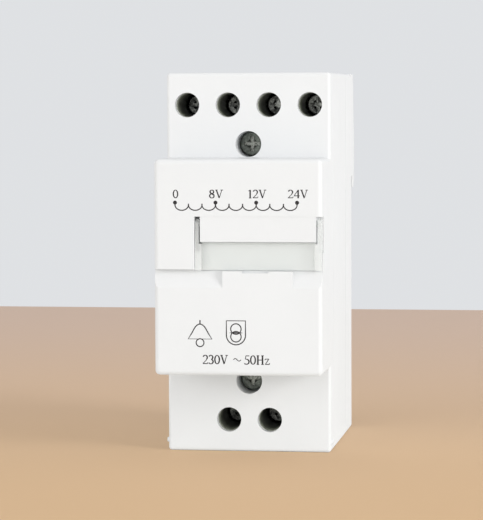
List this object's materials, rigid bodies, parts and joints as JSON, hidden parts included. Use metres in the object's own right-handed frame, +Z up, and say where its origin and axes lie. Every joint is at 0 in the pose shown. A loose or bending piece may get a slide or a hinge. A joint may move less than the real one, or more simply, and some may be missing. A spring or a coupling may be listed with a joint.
{
  "type": "doorbell transformer",
  "caption": "Rail-mounted doorbell transformer: stepped white casing with screw terminals at both ends, a clear label flap in the nose, a fixed hook and a sprung clip behind.",
  "frame": {"origin": "centre of the overall box at the lower end face, on which it stands", "axes": "+Z up along the casing, +X across it, +Y from the nose to the rail"},
  "size_m": [0.037, 0.0664, 0.083],
  "materials": {
    "casing_white": "fine satin",
    "clip_white": "fine satin",
    "block_black": "moulded",
    "flap_clear": "clear, polished",
    "card_paper": "paper card",
    "screw_steel": "zinc plated, dulled",
    "cage_steel": "zinc plated",
    "spring_steel": "drawn wire",
    "contact_brass": "plain",
    "core_steel": "dark, varnished",
    "bobbin_nylon": "moulded",
    "winding_copper": "enamelled wire",
    "tape_yellow": "film tape",
    "fuse_body": "moulded",
    "lead_red": "insulated wire",
    "lead_blue": "insulated wire"
  },
  "bodies": {
    "casing": {"front_cover": "casing_white", "body_shell": "casing_white", "rail_base": "casing_white", "label_card": "card_paper", "cover_screw_upper": "screw_steel", "cover_screw_lower": "screw_steel", "terminal_block_secondary": "block_black", "terminal_block_primary": "block_black", "core_e_stack": "core_steel", "core_i_stack": "core_steel", "bobbin": "bobbin_nylon", "primary_winding": "winding_copper", "secondary_winding": "winding_copper", "primary_tape": "tape_yellow", "secondary_tape": "tape_yellow", "thermal_fuse": "fuse_body", "clip_spring": "spring_steel", "secondary_contact_1": "contact_brass", "secondary_contact_2": "contact_brass", "secondary_contact_3": "contact_brass", "secondary_contact_4": "contact_brass", "primary_contact_1": "contact_brass", "primary_contact_2": "contact_brass", "secondary_lead_1": "lead_blue", "secondary_lead_2": "lead_blue", "secondary_lead_3": "lead_blue", "secondary_lead_4": "lead_blue", "primary_lead_1": "lead_red", "primary_lead_2": "lead_red"},
    "clip": {"rail_clip": "clip_white"},
    "flap": {"label_flap": "flap_clear"},
    "secondary_screw_body_1": {"secondary_screw_1": "screw_steel"},
    "secondary_cage_body_1": {"secondary_cage_1": "cage_steel"},
    "secondary_screw_body_2": {"secondary_screw_2": "screw_steel"},
    "secondary_cage_body_2": {"secondary_cage_2": "cage_steel"},
    "secondary_screw_body_3": {"secondary_screw_3": "screw_steel"},
    "secondary_cage_body_3": {"secondary_cage_3": "cage_steel"},
    "secondary_screw_body_4": {"secondary_screw_4": "screw_steel"},
    "secondary_cage_body_4": {"secondary_cage_4": "cage_steel"},
    "primary_screw_body_1": {"primary_screw_1": "screw_steel"},
    "primary_cage_body_1": {"primary_cage_1": "cage_steel"},
    "primary_screw_body_2": {"primary_screw_2": "screw_steel"},
    "primary_cage_body_2": {"primary_cage_2": "cage_steel"}
  },
  "joints": [
    {"name": "flap_hinge", "type": "hinge", "parent": "casing", "child": "flap", "pos_m": [0, -0.0316, 0.05065], "axis": [-1, 0, 0], "range_deg": [0, 95]},
    {"name": "clip_slide", "type": "slide", "parent": "casing", "child": "clip", "axis": [0, 0, -1], "range_m": [0, 0.0045], "stiffness_N_per_m": 800, "springref_m": -0.004, "deforming": ["clip_spring"]},
    {"name": "secondary_screw_turn_1", "type": "hinge", "parent": "casing", "child": "secondary_screw_body_1", "pos_m": [-0.0135, 0, 0.076], "axis": [0, 1, 0], "range_deg": [0, 1800]},
    {"name": "secondary_cage_slide_1", "type": "slide", "parent": "casing", "child": "secondary_cage_body_1", "axis": [0, -1, 0], "range_m": [0, 0.003]},
    {"name": "secondary_screw_turn_2", "type": "hinge", "parent": "casing", "child": "secondary_screw_body_2", "pos_m": [-0.0045, 0, 0.076], "axis": [0, 1, 0], "range_deg": [0, 1800]},
    {"name": "secondary_cage_slide_2", "type": "slide", "parent": "casing", "child": "secondary_cage_body_2", "axis": [0, -1, 0], "range_m": [0, 0.003]},
    {"name": "secondary_screw_turn_3", "type": "hinge", "parent": "casing", "child": "secondary_screw_body_3", "pos_m": [0.0045, 0, 0.076], "axis": [0, 1, 0], "range_deg": [0, 1800]},
    {"name": "secondary_cage_slide_3", "type": "slide", "parent": "casing", "child": "secondary_cage_body_3", "axis": [0, -1, 0], "range_m": [0, 0.003]},
    {"name": "secondary_screw_turn_4", "type": "hinge", "parent": "casing", "child": "secondary_screw_body_4", "pos_m": [0.0135, 0, 0.076], "axis": [0, 1, 0], "range_deg": [0, 1800]},
    {"name": "secondary_cage_slide_4", "type": "slide", "parent": "casing", "child": "secondary_cage_body_4", "axis": [0, -1, 0], "range_m": [0, 0.003]},
    {"name": "primary_screw_turn_1", "type": "hinge", "parent": "casing", "child": "primary_screw_body_1", "pos_m": [-0.0045, 0, 0.007], "axis": [0, 1, 0], "range_deg": [0, 1800]},
    {"name": "primary_cage_slide_1", "type": "slide", "parent": "casing", "child": "primary_cage_body_1", "axis": [0, -1, 0], "range_m": [0, 0.003]},
    {"name": "primary_screw_turn_2", "type": "hinge", "parent": "casing", "child": "primary_screw_body_2", "pos_m": [0.0045, 0, 0.007], "axis": [0, 1, 0], "range_deg": [0, 1800]},
    {"name": "primary_cage_slide_2", "type": "slide", "parent": "casing", "child": "primary_cage_body_2", "axis": [0, -1, 0], "range_m": [0, 0.003]}
  ],
  "couplings": [
    {"joint": "secondary_screw_turn_1", "follows": "secondary_cage_slide_1", "rad_per_m": 10472},
    {"joint": "secondary_screw_turn_2", "follows": "secondary_cage_slide_2", "rad_per_m": 10472},
    {"joint": "secondary_screw_turn_3", "follows": "secondary_cage_slide_3", "rad_per_m": 10472},
    {"joint": "secondary_screw_turn_4", "follows": "secondary_cage_slide_4", "rad_per_m": 10472},
    {"joint": "primary_screw_turn_1", "follows": "primary_cage_slide_1", "rad_per_m": 10472},
    {"joint": "primary_screw_turn_2", "follows": "primary_cage_slide_2", "rad_per_m": 10472}
  ]
}
